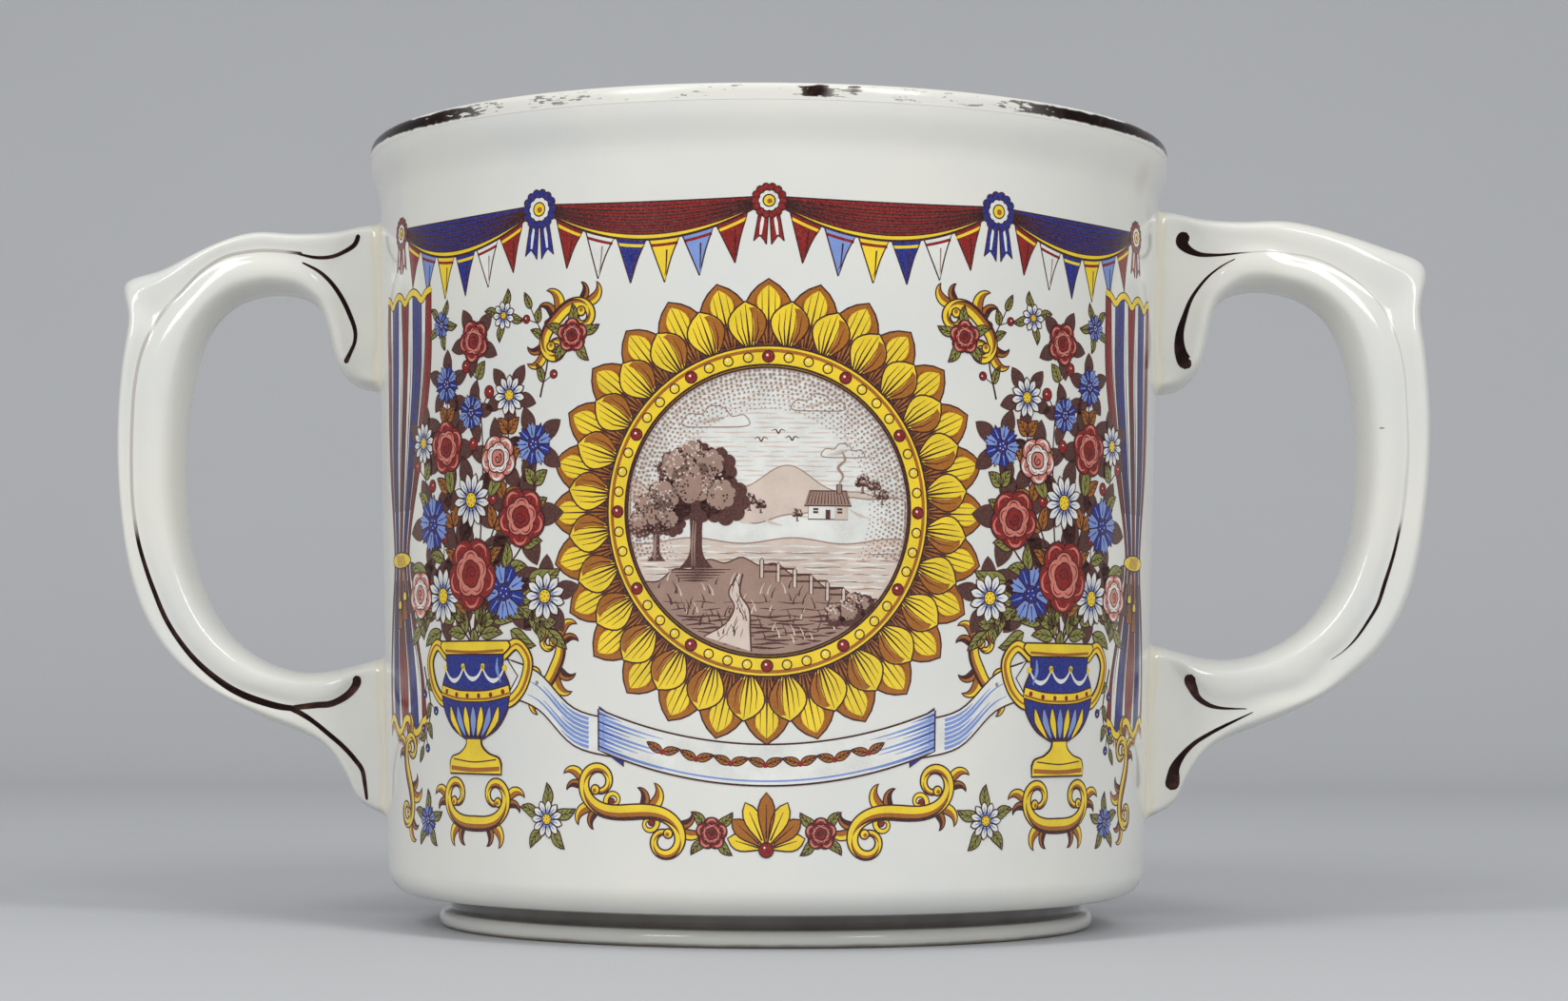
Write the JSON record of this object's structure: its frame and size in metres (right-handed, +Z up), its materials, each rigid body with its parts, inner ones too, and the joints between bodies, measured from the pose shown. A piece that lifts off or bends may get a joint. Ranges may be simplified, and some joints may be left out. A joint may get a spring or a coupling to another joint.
{
  "type": "commemorative mug",
  "caption": "Straight-sided ceramic mug with scroll handles on both sides, a turned foot ring, a printed front panel and gilded rim and handle lines.",
  "frame": {"origin": "centre of the overall length and depth, on the plane the foot stands on", "axes": "+X to the handle at the viewer's right, -Y out of the printed front, +Z up"},
  "size_m": [0.1302, 0.0794, 0.0763],
  "materials": {
    "glazed_earthenware": "glossy, slightly warm white glaze",
    "glazed_slip": "glossy cream glaze over joining slip",
    "gilding": "thin fired gold, mirror-like, dark where it reflects the room, worn on the rim",
    "printed_enamel": "glossy fired enamel print in yellow, ochre, blue, brick red and sepia"
  },
  "bodies": {
    "root": {"mug_body": "glazed_earthenware", "rim_gilding": "gilding", "front_transfer": "printed_enamel", "left_handle": "glazed_earthenware", "left_handle_upper_slip": "glazed_slip", "left_handle_lower_slip": "glazed_slip", "left_handle_front_gilding": "gilding", "left_handle_back_gilding": "gilding", "right_handle": "glazed_earthenware", "right_handle_upper_slip": "glazed_slip", "right_handle_lower_slip": "glazed_slip", "right_handle_front_gilding": "gilding", "right_handle_back_gilding": "gilding"}
  },
  "joints": []
}
